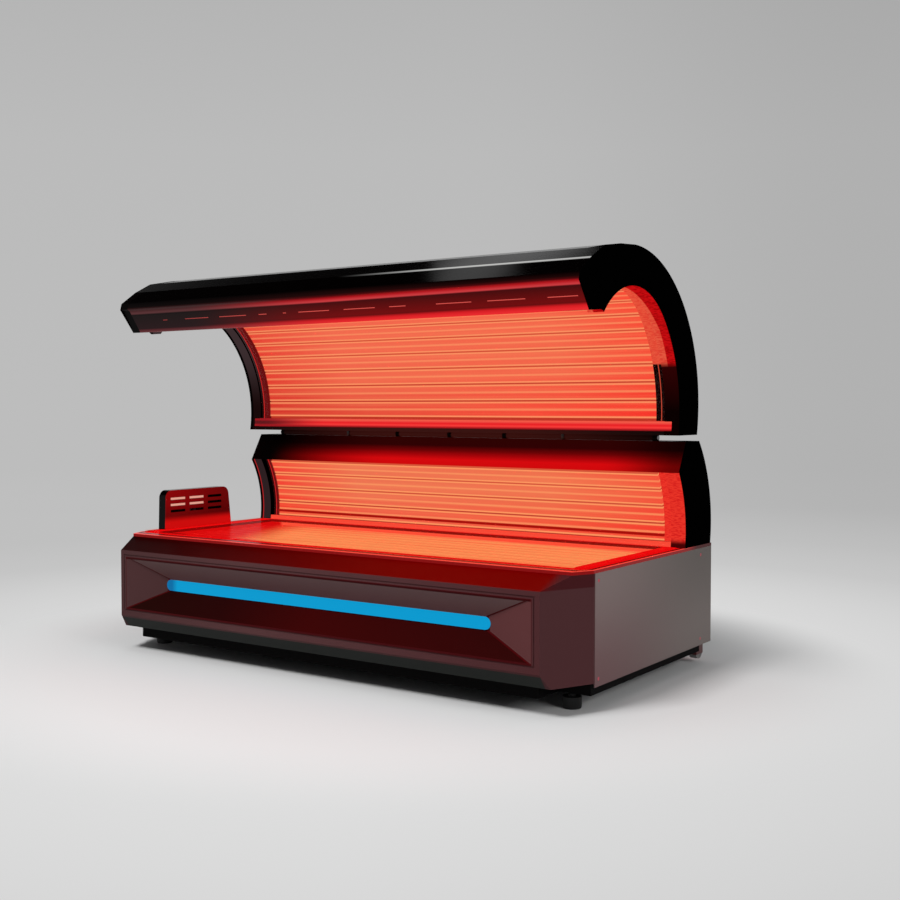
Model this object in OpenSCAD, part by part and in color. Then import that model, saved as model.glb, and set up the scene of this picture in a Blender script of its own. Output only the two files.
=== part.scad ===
// Red light therapy bed: a lamp deck, a fixed lamp back and a hinged lamp canopy, shown open.
// X runs along the bed, Y points to its back, Z is up, and the floor is Z = 0.

/* [Base] */
// Length of the bed over its end panels
bed_l = 2200; // [2000:10:2400]
// Depth of the base from the front face to the rear panel
base_d = 1186; // [1120:2:1260]
// Height of the deck trim above the floor
deck_z = 478; // [450:1:520]
// Height of the end panels' lower edge above the floor
skirt_z = 85; // [80:1:100]
// Height of the front panel's lower edge above the floor
front_bottom_z = 100; // [92:1:115]
// How far the front panel stands out from the end panels' front edge
bulge = 203; // [180:1:220]
// How far the deck trim lies behind the front face
trim_setback = 115; // [95:1:130]
// Height of the sloped band between the trim and the front face
top_bevel = 44; // [30:1:60]
// Height of the sloped band below the front face
bottom_bevel = 51; // [35:1:70]
// Depth of the sloped band below the front face
bottom_setback = 40; // [25:1:60]
// Length of each slanted corner of the front panel, along the bed
corner_l = 94; // [60:1:120]
// Wall of the moulded covers
wall = 4; // [3:0.5:5]
// Thickness of the deck trim frame
trim_t = 12; // [8:1:16]
// Thickness of the deck's clear sheet
sheet_t = 8; // [5:0.5:10]

/* [Front light recess] */
// Distance from each end of the bed to the recess
recess_end = 125; // [110:1:180]
// Height of the recess opening
recess_h = 208; // [160:1:215]
// Height of the recess centre above the floor
recess_z = 289; // [284:1:294]
// Depth of the recess
recess_depth = 53; // [35:1:60]
// Length of the slanted ends of the recess
recess_slant = 190; // [120:1:240]
// Height of the light strip
strip_h = 44; // [30:1:60]

/* [Lamps] */
// Target distance between the light bars
bar_pitch = 74; // [60:1:95]
// Gap between neighbouring light bars
bar_gap = 5; // [3:0.5:10]
// Thickness of a light bar
bar_t = 12; // [8:1:14]
// Distance from the end of the bed to the end of the light bars
bar_end = 100; // [90:1:150]
// Air gap between a clear sheet and its light bars
sheet_gap = 10; // [6:1:14]
// Thickness of the curved clear sheets
curved_sheet_t = 4; // [3:0.5:5]
// Thickness of the reflectors
reflector_t = 2; // [1:0.5:3]

/* [Fixed back] */
// Height of the back's ridge above the deck
back_h = 407; // [380:1:430]
// Radius of the back's outer shell
back_r = 490; // [470:1:510]
// Radius of the back's clear sheet
back_in_r = 438; // [425:1:445]
// Width of each black end cap along the bed
cap_w = 60; // [40:1:75]

/* [Canopy] */
// Radius of the canopy's outer shell
shell_r = 556; // [545:1:570]
// Inner radius of the clear sheet over the top
top_r = 332; // [325:1:340]
// Inner radius of the clear sheet down the back
rear_r = 507; // [500:1:512]
// Gap between the ridge and the canopy at rest
hinge_gap = 24; // [24:1:30]
// How far the canopy's hinge lies in front of the base's rear face
hinge_inset = 231; // [222:1:236]
// Width of a canopy light holder along the bed
holder_t = 4; // [3:1:6]

/* [Hinge and gas springs] */
// Radius of the hinge shaft
shaft_r = 8; // [6:0.5:9]
// Distance of each hinge arm from the middle of the bed
arm_x = 560; // [450:5:650]
// Thickness of a hinge arm
arm_t = 12; // [8:1:16]
// Length of the crank below the hinge
crank_l = 45; // [40:1:50]
// Radius of a gas spring's cylinder
spring_r = 14; // [11:0.5:15]
// Radius of a gas spring's rod
rod_r = 5; // [4:0.5:7]

/* [Feet and rollers] */
// Radius of a levelling foot
foot_r = 33; // [25:1:38]
// Height of a levelling foot
foot_h = 40; // [30:1:50]
// Radius of a transport roller
roller_r = 33; // [26:1:36]
// Width of a transport roller
roller_w = 30; // [20:1:34]

/* [Air pod at the foot end] */
// Height of the pod above the deck trim
pod_h = 172; // [150:1:200]
// Thickness of the pod
pod_t = 44; // [40:1:48]
// Length of the pod's foot
pod_l = 400; // [380:1:430]
// Distance from the front face to the pod's rear edge
pod_back = 690; // [660:1:720]

/* [Fans] */
// Radius of a base fan's duct
fan_r = 100; // [80:1:110]
// Number of blades on a fan
fan_blades = 7; // [5:1:9]

/* [Hidden] */
$fn = 96;
// Clearance between pieces that seat on each other
fit = 0.3;
// Running clearance on a shaft
run = 0.05;
// Overshoot that lets a cut pass clean through a face
eps = 1;

half_l = bed_l / 2;
front_y = -base_d / 2;
rear_y = base_d / 2;
side_front_y = front_y + bulge;
corner_y = side_front_y - 10;
trim_y = front_y + trim_setback;
under_trim_z = deck_z - trim_t;
sheet_top_z = deck_z + sheet_t;
fold_x = half_l - corner_l;
fold_z = under_trim_z - top_bevel;
low_fold_z = front_bottom_z + bottom_bevel;

// Welded frame
tube_w = 40;
rail_h = 53;
rail_top_z = front_bottom_z + 8;
rail_z = rail_top_z - rail_h;
frame_x = half_l - 15;
frame_front_y = side_front_y;
frame_rear_y = rear_y - 78;
upper_rail_h = 40;
tray_z = deck_z - 36;
cross_x = 350;

// Profile points are [y, z]
function unit(v) = v / norm(v);
function left_of(a, b) = let (u = unit(b - a)) [-u[1], u[0]];
function inset_point(p, i, d) =
    i == 0 ? p[0] + d * left_of(p[0], p[1]) :
    i == len(p) - 1 ? p[i] + d * left_of(p[i - 1], p[i]) :
    let (n0 = left_of(p[i - 1], p[i]), n1 = left_of(p[i], p[i + 1]))
    p[i] + d * (n0 + n1) / (1 + n0 * n1);
function inset_path(p, d) = [for (i = [0 : len(p) - 1]) inset_point(p, i, d)];
function reversed(p) = [for (i = [len(p) - 1 : -1 : 0]) p[i]];
function polar(c, r, a) = c + r * [cos(a), sin(a)];

module strip(p, d) polygon(concat(p, reversed(inset_path(p, d))));
// The same for points i0 to i1 only, mitred against their neighbours
module strip_part(p, d, i0, i1)
    polygon(concat([for (i = [i0 : i1]) p[i]], [for (i = [i1 : -1 : i0]) inset_point(p, i, d)]));
module along_x(x0, x1) translate([x0, 0, 0]) rotate([90, 0, 90]) linear_extrude(x1 - x0) children();
module along_z(z0, z1) translate([0, 0, z0]) linear_extrude(z1 - z0) children();
module disc_x(x0, x1, p, r) translate([x0, p[0], p[1]]) rotate([0, 90, 0]) cylinder(h = x1 - x0, r = r);
module disc_y(y0, y1, x, z, r) translate([x, y0, z]) rotate([-90, 0, 0]) cylinder(h = y1 - y0, r = r);
module box(a, b) translate(a) cube(b - a);
module both_ends() { children(); mirror([1, 0, 0]) children(); }
module disc(c, r) translate(c) circle(r);
// Keeps only what lies between two heights
module between(z0, z1) intersection() {
    children();
    translate([-bed_l, z0]) square([2 * bed_l, z1 - z0]);
}

// Part of a ring between two angles, for spans under 180 degrees
module sector(c, r0, r1, a0, a1) {
    step = (a1 - a0) / 3;
    intersection() {
        difference() {
            disc(c, r1);
            disc(c, r0);
        }
        polygon(concat([c], [for (i = [0 : 3]) polar(c, 1.5 * r1, a0 + i * step)]));
    }
}

// Outline of the front panel across the bed, open at the back
function front_path(back_y) = [
    [back_y, under_trim_z], [trim_y, under_trim_z], [front_y, fold_z], [front_y, low_fold_z],
    [front_y + bottom_setback, front_bottom_z], [back_y, front_bottom_z]
];
// Outline of the front panel seen from above, open at the back
function plan_path(back_y) = [
    [-half_l, back_y], [-half_l, corner_y], [-fold_x, front_y],
    [fold_x, front_y], [half_l, corner_y], [half_l, back_y]
];
module front_form(inset, back_y) {
    intersection() {
        along_x(-half_l, half_l) polygon(inset_path(front_path(back_y), inset));
        along_z(0, deck_z) polygon(inset_path(plan_path(back_y), inset));
    }
}
recess_x = half_l - recess_end;
recess_floor_y = front_y + recess_depth;
floor_h = strip_h + 6;
strip_x = recess_x - recess_slant;
// Inverted pyramid of the light recess, grown by g for the wall behind it
module recess_form(g) {
    top = recess_z + recess_h / 2 + g;
    low = recess_z - recess_h / 2 - g;
    back = recess_floor_y + g;
    intersection() {
        along_x(-half_l, half_l) polygon([
            [front_y - eps, top], [front_y, top], [back, recess_z + floor_h / 2 + g],
            [back, recess_z - floor_h / 2 - g], [front_y, low], [front_y - eps, low]
        ]);
        along_z(0, deck_z) polygon([
            [-recess_x - g, front_y - eps], [-recess_x - g, front_y], [-strip_x - g, back],
            [strip_x + g, back], [recess_x + g, front_y], [recess_x + g, front_y - eps]
        ]);
    }
}
groove_w = 6;
groove_gap = 7;
groove_depth = 2.5;
module frame_slab(m, y0, y1)
    box([-recess_x - m, y0, recess_z - recess_h / 2 - m],
        [recess_x + m, y1, recess_z + recess_h / 2 + m]);
module stadium(y0, y1, m) {
    r = strip_h / 2 + m;
    hull_x = strip_x - strip_h / 2;
    box([-hull_x, y0, recess_z - r], [hull_x, y1, recess_z + r]);
    for (x = [-hull_x, hull_x]) disc_y(y0, y1, x, recess_z, r);
}

module front_panel() color([0.29, 0.19, 0.2]) difference() {
    front_form(0, side_front_y);
    difference() {
        front_form(wall, side_front_y + eps);
        recess_form(wall);
    }
    recess_form(0);
    difference() {
        frame_slab(groove_gap + groove_w, front_y - eps, front_y + groove_depth);
        frame_slab(groove_gap, front_y - 2 * eps, front_y + 2 * groove_depth);
    }
    stadium(recess_floor_y - eps, recess_floor_y + wall + eps, fit);
}

strip_proud = 3;
module light_strip() color([0.05, 0.6, 0.85])
    stadium(recess_floor_y - strip_proud, recess_floor_y + wall, 0);

channel_t = 16;
channel_wall = 2;
channel_y = recess_floor_y + wall;
module strip_channel() color([0.75, 0.76, 0.78]) difference() {
    box([-strip_x, channel_y, recess_z - strip_h / 2 - 6],
        [strip_x, channel_y + channel_t, recess_z + strip_h / 2 + 6]);
    box([-strip_x + strip_h, channel_y - eps, recess_z - strip_h / 2 + 4],
        [strip_x - strip_h, channel_y + channel_t - channel_wall, recess_z + strip_h / 2 - 4]);
}

tube_t = 3;
plinth_w = 40;
plinth_x = half_l - 140;
plinth_y = front_y + bottom_setback + 33;
// Folded steel channels from corner a to corner b, open below or above
module channel_down(a, b, along) difference() {
    box(a, b);
    box(a + tube_t * along - [0, 0, eps], b - tube_t * along - [0, 0, tube_t]);
}
module channel_up(a, b, along) difference() {
    box(a, b);
    box(a + tube_t * along + [0, 0, tube_t], b - tube_t * along + [0, 0, eps]);
}
long_way = [1, 1, 0];
module base_frame() color([0.07, 0.07, 0.07]) {
    inner_x = frame_x - tube_w;
    upper_z = tray_z - upper_rail_h;
    for (y = [frame_front_y, frame_rear_y - tube_w]) {
        channel_up([-frame_x, y, rail_z], [frame_x, y + tube_w, rail_top_z], long_way);
        channel_down([-frame_x, y, upper_z], [frame_x, y + tube_w, tray_z], long_way);
    }
    channel_up([-plinth_x, plinth_y, rail_z], [plinth_x, plinth_y + plinth_w, front_bottom_z],
        long_way);
    both_ends() {
        channel_up([inner_x, frame_front_y, rail_z], [frame_x, frame_rear_y, rail_top_z], long_way);
        channel_down([inner_x, frame_front_y, upper_z], [frame_x, frame_rear_y, tray_z], long_way);
        for (y = [frame_front_y, frame_rear_y - tube_w])
            box([inner_x, y, rail_z + tube_t], [frame_x, y + tube_w, tray_z - tube_t]);
        channel_up([cross_x - tube_w / 2, frame_front_y, rail_z],
            [cross_x + tube_w / 2, frame_rear_y, rail_top_z], long_way);
        channel_down([cross_x - tube_w / 2, frame_front_y, upper_z],
            [cross_x + tube_w / 2, frame_rear_y, tray_z], long_way);
        for (x = [plinth_x - tube_w, cross_x - tube_w / 2])
            box([x, plinth_y + plinth_w - tube_t, rail_z],
                [x + tube_w, frame_front_y + tube_t, front_bottom_z]);
    }
}

pan_t = 2;
pan_lap = 10;
pan_x = frame_x - tube_w + pan_lap;
module floor_pan() color([0.1, 0.1, 0.1])
    box([-pan_x, frame_front_y + tube_w + fit, rail_top_z],
        [pan_x, frame_rear_y - tube_w - fit, rail_top_z + pan_t]);

front_foot_x = half_l - 100;
rear_foot_x = half_l - 160;
stem_r = 8;
nut_r = 14;
module foot_at(x, y) translate([x, y, 0]) {
    cylinder(h = 4, r1 = foot_r - 2, r2 = foot_r);
    translate([0, 0, 4]) cylinder(h = foot_h - 4, r = foot_r);
    cylinder(h = rail_z, r = stem_r);
    translate([0, 0, foot_h]) cylinder(h = 8, r = nut_r, $fn = 6);
}
module levelling_feet() color([0.03, 0.03, 0.03])
    both_ends() {
        foot_at(front_foot_x, frame_front_y + tube_w / 2 + 6);
        foot_at(rear_foot_x, frame_rear_y - tube_w / 2);
    }

panel_t = 4;
screw_r = 6;
screw_in = 26;
screw_y = [side_front_y + screw_in, rear_y - 4 * screw_in];
screw_z = [skirt_z + screw_in, under_trim_z - screw_in];
module end_screws(x0, x1, m)
    for (y = screw_y, z = screw_z) disc_x(x0, x1, [y, z], screw_r + m);
module end_panel() difference() {
    box([half_l - panel_t, side_front_y, skirt_z], [half_l, rear_y, under_trim_z]);
    end_screws(half_l - panel_t - eps, half_l + eps, fit);
}
module end_panel_left() color([0.36, 0.32, 0.31]) mirror([1, 0, 0]) end_panel();
module end_panel_right() color([0.36, 0.32, 0.31]) end_panel();
// Each screw runs in to a clip block that stands on the frame
module end_panel_screws() color([0.15, 0.1, 0.1]) both_ends() {
    end_screws(half_l - panel_t, half_l, 0);
    for (y = screw_y, z = screw_z)
        box([frame_x, y - 10, z - 10], [half_l - panel_t, y + 10, z + 10]);
}

// Lower back, arcs in [y, z]
hinge_y = rear_y - hinge_inset;
ridge_z = deck_z + back_h;
hinge_z = ridge_z + hinge_gap / 2;
back_c = [rear_y - 4 - back_r, deck_z + 82];
back_in_c = [hinge_y - 16 - back_in_r, deck_z + 62];
ridge_front_y = hinge_y - 14;
nose = [hinge_y - 80, ridge_z - 117];
bar_x = half_l - bar_end;
cap_x = half_l - cap_w;
sheet_x = cap_x - fit;

// Region of the lower back seen from the end: outer faces moved in by d, underside raised by foot
module back_profile(d, sheet_side, foot) difference() {
    intersection() {
        disc(back_c, back_r - d);
        polygon([
            [rear_y, ridge_z - d], [ridge_front_y + 0.6 * d, ridge_z - d],
            [nose[0] + 1.2 * d, nose[1]], [nose[0] + 1.2 * d, deck_z + foot], [rear_y, deck_z + foot]
        ]);
    }
    disc(back_in_c, back_in_r + sheet_side);
}
function angle_at(c, r, z) = asin((z - c[1]) / r);
brow_t = 3;
shell_top_a = angle_at(back_c, back_r, ridge_z);
ridge_rear_y = back_c[0] + (back_r - wall) * cos(shell_top_a) - 3;
brow_path = [[ridge_rear_y, ridge_z], [ridge_front_y, ridge_z], nose, nose + [14, 1.5]];
// The brow runs over the caps, out to their end plates
module brow_zone() let (p = brow_path, q = inset_path(brow_path, brow_t + fit)) polygon([
    p[1] + 4 * (p[1] - q[1]), q[1], q[2], q[3] + [fit, 0], [p[3][0] + fit, nose[1] - fit],
    nose - [80, fit], p[1] + [-80, 30]
]);
module back_cap() difference() {
    along_x(cap_x, half_l) back_profile(0, -2, 0);
    along_x(cap_x - eps, half_l - wall) {
        back_profile(wall, wall - 2, wall);
        brow_zone();
    }
}
module back_cap_left() color([0.02, 0.02, 0.02]) mirror([1, 0, 0]) back_cap();
module back_cap_right() color([0.02, 0.02, 0.02]) back_cap();

module back_shell() color([0.03, 0.03, 0.03])
    along_x(-sheet_x, sheet_x) between(deck_z, ridge_z)
        sector(back_c, back_r - wall, back_r, -20, shell_top_a + 1);

slot_front_y = hinge_y - 10.4;
slot_rear_y = hinge_y + crank_l + 14;
module back_brow() color([0.2, 0.02, 0.02]) difference() {
    union() {
        along_x(-sheet_x, sheet_x) strip_part(brow_path, brow_t, 0, 1);
        along_x(-fascia_x, fascia_x) strip_part(brow_path, brow_t, 1, 3);
    }
    both_ends() {
        box([arm_x - arm_t / 2 - 2, slot_front_y, ridge_z - 2 * brow_t],
            [arm_x + arm_t / 2 + 2, slot_rear_y, ridge_z + eps]);
        box([arm_x, hinge_y + 13, ridge_z - 2 * brow_t],
            [arm_x + arm_t / 2 + 20, slot_rear_y, ridge_z + eps]);
    }
}

back_top_a = angle_at(back_in_c, back_in_r, nose[1] - 3);
back_low_a = angle_at(back_in_c, back_in_r, sheet_top_z) + 0.3;
back_bar_r = back_in_r + curved_sheet_t + sheet_gap;
module back_sheet() color([0.9, 0.35, 0.3, 0.4])
    along_x(-sheet_x, sheet_x)
        sector(back_in_c, back_in_r, back_in_r + curved_sheet_t, back_low_a, back_top_a);

// Row of curved light bars from angle a0 to a1 round centre c
function bar_count(r, a0, a1) = max(1, round((a1 - a0) * PI * r / 180 / bar_pitch));
module curved_bars(c, r, a0, a1) {
    n = bar_count(r, a0, a1);
    pitch = (a1 - a0) / n;
    gap = bar_gap / r * 180 / PI;
    for (i = [0 : n - 1])
        along_x(-bar_x, bar_x)
            sector(c, r, r + bar_t, a0 + i * pitch + gap / 2, a0 + (i + 1) * pitch - gap / 2);
}
back_rail_a = back_low_a + 1.5;
module back_light_bars() color([0.98, 0.45, 0.35])
    curved_bars(back_in_c, back_bar_r, back_rail_a, back_top_a - 1.5);
back_refl_r = back_bar_r + bar_t + fit;
module back_reflector() color([0.8, 0.25, 0.22])
    along_x(-sheet_x, sheet_x)
        sector(back_in_c, back_refl_r, back_refl_r + reflector_t, back_rail_a, back_top_a - 0.6);
module back_rail() color([0.35, 0.05, 0.05])
    along_x(-sheet_x, sheet_x) between(deck_z, ridge_z)
        sector(back_in_c, back_in_r + curved_sheet_t + fit, back_refl_r + reflector_t, -20,
            back_rail_a - 0.1);

rib_t = 5;
rib_x = [-840, -280, 280, 840];
beam_h = 30;
back_beam_y = rear_y - 108;
back_beam_z = ridge_z - 150;
module back_beam_at(m)
    box([-sheet_x - m, back_beam_y - m, back_beam_z - m],
        [sheet_x + m, back_beam_y + beam_h + m, back_beam_z + beam_h + m]);
rib_void = curved_sheet_t + sheet_gap + bar_t + reflector_t + 2 * fit;
module back_ribs() color([0.12, 0.12, 0.12]) difference() {
    for (x = rib_x) along_x(x - rib_t / 2, x + rib_t / 2) difference() {
        back_profile(wall + fit, rib_void, 0);
        translate([back_in_c[0] + back_in_r + 60, deck_z + 60]) square([110, 120]);
    }
    back_beam_at(fit);
}
module square_tube(y, z, w, h, t) difference() {
    box([-sheet_x, y, z], [sheet_x, y + w, z + h]);
    box([-sheet_x - eps, y + t, z + t], [sheet_x + eps, y + w - t, z + h - t]);
}
module back_beam() color([0.12, 0.12, 0.12])
    square_tube(back_beam_y, back_beam_z, beam_h, beam_h, tube_t);

// Deck
deck_front_y = trim_y + 58;
deck_side_x = half_l - 12;
// The trim's front corners follow the front panel's
trim_corner_x = fold_x + corner_l * (trim_y - front_y) / (corner_y - front_y);
sheet_corner_x = trim_corner_x - 6;
junction_y = back_in_c[0] + back_in_r * cos(angle_at(back_in_c, back_in_r, deck_z));
window_x = half_l - 85;
tray_wall = 2;
tray_x = frame_x;
tray_front_y = side_front_y + fit;
tray_rear_y = junction_y + 6;
module trim_outline() polygon([
    [-half_l, rear_y], [-half_l, corner_y], [-trim_corner_x, trim_y],
    [trim_corner_x, trim_y], [half_l, corner_y], [half_l, rear_y]
]);
module deck_trim() color([0.35, 0.02, 0.02]) along_z(under_trim_z, deck_z) difference() {
    trim_outline();
    translate([-window_x, tray_front_y + tray_wall])
        square([2 * window_x, junction_y - 10 - tray_front_y - tray_wall]);
    translate([-window_x, junction_y + 40]) square([2 * window_x, rear_y - junction_y - 90]);
}
pod_clear = 3;
module deck_sheet() color([0.95, 0.3, 0.2, 0.45]) along_z(deck_z, sheet_top_z) difference() {
    polygon([
        [-sheet_corner_x, deck_front_y], [sheet_corner_x, deck_front_y], [deck_side_x, side_front_y],
        [deck_side_x, junction_y - 3], [-deck_side_x, junction_y - 3], [-deck_side_x, side_front_y]
    ]);
    translate([-half_l, front_y + pod_back - pod_l - pod_clear])
        square([pod_t + pod_clear, pod_l + 2 * pod_clear]);
}

module deck_tray() color([0.75, 0.2, 0.18]) difference() {
    box([-tray_x, tray_front_y, tray_z], [tray_x, tray_rear_y, under_trim_z]);
    box([-tray_x + tray_wall, tray_front_y + tray_wall, tray_z + tray_wall],
        [tray_x - tray_wall, tray_rear_y - tray_wall, under_trim_z + eps]);
}
deck_bars_front = tray_front_y + tray_wall;
deck_bars_rear = junction_y - 10;
deck_bar_n = round((deck_bars_rear - deck_bars_front) / bar_pitch);
deck_bar_pitch = (deck_bars_rear - deck_bars_front) / deck_bar_n;
crown_r = 160;
// Each bar has a flat back and a crowned face
module deck_light_bars() color([1, 0.55, 0.35])
    for (i = [0 : deck_bar_n - 1]) {
        y0 = deck_bars_front + i * deck_bar_pitch + bar_gap / 2;
        y1 = deck_bars_front + (i + 1) * deck_bar_pitch - bar_gap / 2;
        z0 = tray_z + tray_wall;
        along_x(-bar_x + 4, bar_x - 4) intersection() {
            translate([y0, z0]) square([y1 - y0, bar_t]);
            disc([(y0 + y1) / 2, z0 + bar_t - crown_r], crown_r);
        }
    }

// Inside the base
driver_l = 300;
driver_w = 110;
driver_h = 60;
driver_x = [-half_l + 280, -cross_x - 130, cross_x - 170, half_l - 580];
driver_y = front_y + 393;
pan_z = rail_top_z + pan_t;
module power_drivers() color([0.6, 0.61, 0.62])
    for (x = driver_x) difference() {
        box([x, driver_y, pan_z], [x + driver_l, driver_y + driver_w, pan_z + driver_h]);
        for (i = [0 : 6]) box([x + 30 + i * 38, driver_y - eps, pan_z + 12],
            [x + 36 + i * 38, driver_y + driver_w + eps, pan_z + driver_h + eps]);
    }
module control_box() color([0.85, 0.85, 0.82]) {
    box([-110, front_y + 633, pan_z], [110, front_y + 793, pan_z + 70]);
    box([-100, front_y + 643, pan_z + 70], [100, front_y + 783, pan_z + 74]);
}

fan_x = 450;
fan_z = 270;
fan_frame = 2 * fan_r + 20;
fan_t = 40;
duct_y = rear_y - panel_t - fan_t;
motor_r = 30;
pin_r = 4;
fan_face_y = duct_y + 2;
module fan_housing(x) {
    difference() {
        box([x - fan_frame / 2, duct_y, fan_z - fan_frame / 2],
            [x + fan_frame / 2, duct_y + fan_t, fan_z + fan_frame / 2]);
        disc_y(duct_y - eps, duct_y + fan_t + eps, x, fan_z, fan_r + 2);
    }
    intersection() {
        disc_y(duct_y, duct_y + 4, x, fan_z, fan_r + 3);
        union() for (a = [0 : 60 : 120]) translate([x, duct_y, fan_z]) rotate([0, a, 0])
            translate([-fan_r - 5, 0, -4]) cube([2 * fan_r + 10, 4, 8]);
    }
    disc_y(duct_y, duct_y + 10, x, fan_z, motor_r);
    disc_y(duct_y, duct_y + fan_t - 4, x, fan_z, pin_r);
}
blade_t = 3;
blade_tilt = 35;
module fan_blades_y(r, hub, w) for (i = [0 : fan_blades - 1])
    rotate([0, i * 360 / fan_blades, 0]) translate([(r + hub) / 2, w / 2, 0]) rotate([blade_tilt, 0, 0])
        cube([r - hub + 4, blade_t, w * 1.05], center = true);
// Rotor about its own Y axis, from y = 0 to y = w
module rotor(r, hub, w) difference() {
    union() {
        rotate([-90, 0, 0]) cylinder(h = w, r = hub);
        intersection() {
            fan_blades_y(r, hub, w);
            rotate([-90, 0, 0]) cylinder(h = w, r = r);
        }
    }
    translate([0, -eps, 0]) rotate([-90, 0, 0]) cylinder(h = w + 2 * eps, r = pin_r + run);
}
rotor_y = duct_y + 10 + fit;
rotor_w = 22;
module fan_housing_left() color([0.05, 0.05, 0.05]) fan_housing(-fan_x);
module fan_housing_right() color([0.05, 0.05, 0.05]) fan_housing(fan_x);
module fan_rotor_left() color([0.1, 0.1, 0.1]) translate([-fan_x, rotor_y, fan_z])
    rotor(fan_r - 2, motor_r, rotor_w);
module fan_rotor_right() color([0.1, 0.1, 0.1]) translate([fan_x, rotor_y, fan_z])
    rotor(fan_r - 2, motor_r, rotor_w);

inlet_x = -half_l + 280;
inlet_z = 180;
inlet_w = 50;
inlet_h = 34;
module rear_panel() color([0.12, 0.11, 0.11]) difference() {
    box([-half_l + panel_t, rear_y - panel_t, skirt_z], [half_l - panel_t, rear_y, under_trim_z]);
    for (x = [-fan_x, fan_x], i = [-7 : 7]) {
        w = sqrt(pow(fan_r, 2) - pow(i * 13, 2));
        box([x - w, rear_y - 2 * panel_t, fan_z + i * 13 - 3.5],
            [x + w, rear_y + eps, fan_z + i * 13 + 3.5]);
    }
    box([inlet_x - inlet_w / 2, rear_y - 2 * panel_t, inlet_z - inlet_h / 2],
        [inlet_x + inlet_w / 2, rear_y + eps, inlet_z + inlet_h / 2]);
}
inlet_depth = 28;
module mains_inlet() color([0.04, 0.04, 0.04]) difference() {
    union() {
        box([inlet_x - inlet_w / 2 + fit, rear_y - inlet_depth, inlet_z - inlet_h / 2 + fit],
            [inlet_x + inlet_w / 2 - fit, rear_y, inlet_z + inlet_h / 2 - fit]);
        box([inlet_x - inlet_w / 2 - 6, rear_y - panel_t - 4, inlet_z - inlet_h / 2 - 6],
            [inlet_x + inlet_w / 2 + 6, rear_y - panel_t, inlet_z + inlet_h / 2 + 6]);
    }
    box([inlet_x - inlet_w / 2 + 4, rear_y - inlet_depth + 4, inlet_z - inlet_h / 2 + 4],
        [inlet_x + inlet_w / 2 - 4, rear_y + eps, inlet_z + inlet_h / 2 - 4]);
}

// Transport rollers at the rear corners
roller_x0 = half_l - 62;
roller_y = rear_y - roller_r - 5;
roller_z = roller_r + 17;
fork_t = 4;
fork_gap = 2;
axle_r = 5;
fork_x0 = roller_x0 - fork_gap - fork_t;
fork_x1 = roller_x0 + roller_w + fork_gap + fork_t;
fork_top_z = roller_z + roller_r + 5;
module roller_bracket() {
    for (x = [fork_x0, fork_x1 - fork_t])
        box([x, frame_rear_y, roller_z - 12], [x + fork_t, roller_y + 22, fork_top_z + fork_t]);
    box([fork_x0, frame_rear_y, roller_z - 12], [fork_x1, frame_rear_y + fork_t, fork_top_z + fork_t]);
    box([fork_x0, frame_rear_y, fork_top_z], [fork_x1, roller_y + 22, fork_top_z + fork_t]);
    disc_x(fork_x0, fork_x1, [roller_y, roller_z], axle_r);
}
module roller_wheel()
    disc_ring_x(roller_x0, roller_x0 + roller_w, [roller_y, roller_z], axle_r + run, roller_r);
module disc_ring_x(x0, x1, p, r0, r1) difference() {
    disc_x(x0, x1, p, r1);
    disc_x(x0 - eps, x1 + eps, p, r0);
    for (x = [x0 - eps, x1 - 3]) difference() {
        disc_x(x, x + 3 + eps, p, r1 - 7);
        disc_x(x - eps, x + 5, p, r0 + 7);
    }
}
module roller_bracket_left() color([0.3, 0.06, 0.06]) mirror([1, 0, 0]) roller_bracket();
module roller_bracket_right() color([0.3, 0.06, 0.06]) roller_bracket();
module roller_wheel_left() color([0.35, 0.35, 0.35]) mirror([1, 0, 0]) roller_wheel();
module roller_wheel_right() color([0.35, 0.35, 0.35]) roller_wheel();

// Hinge line on the ridge
hinge = [hinge_y, hinge_z];
cover_r = hinge_gap / 2 - fit;
beam_end = 125;
shaft_end = half_l - beam_end;
block_w = 20;
block_x = [-shaft_end + block_w / 2, -arm_x / 2, 0, arm_x / 2, shaft_end - block_w / 2];
module hinge_shaft() color([0.5, 0.5, 0.52]) disc_x(-shaft_end, shaft_end, hinge, shaft_r);
module hinge_blocks() color([0.1, 0.1, 0.1]) for (x = block_x) difference() {
    union() {
        disc_x(x - block_w / 2, x + block_w / 2, hinge, cover_r);
        box([x - block_w / 2, hinge_y - 9, ridge_z], [x + block_w / 2, hinge_y + 9, hinge_z - 2]);
    }
    disc_x(x - block_w, x + block_w, hinge, shaft_r + fit);
}
// Cover tubes between the blocks and the arms
arm_gap = arm_t / 2 + 1;
cover_spans = [
    [block_x[0] + block_w / 2, -arm_x - arm_gap], [-arm_x + arm_gap, block_x[1] - block_w / 2],
    [block_x[1] + block_w / 2, block_x[2] - block_w / 2],
    [block_x[2] + block_w / 2, block_x[3] - block_w / 2],
    [block_x[3] + block_w / 2, arm_x - arm_gap], [arm_x + arm_gap, block_x[4] - block_w / 2]
];
module hinge_cover() color([0.05, 0.02, 0.02]) for (s = cover_spans) difference() {
    disc_x(s[0], s[1], hinge, cover_r);
    disc_x(s[0] - eps, s[1] + eps, hinge, shaft_r + fit);
}

// Gas springs lie beside the cranks and push their lower ends forward
crank_a = -92;
crank = polar(hinge, crank_l, crank_a);
spring_foot = [hinge_y + 138, hinge_z - 107];
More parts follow.
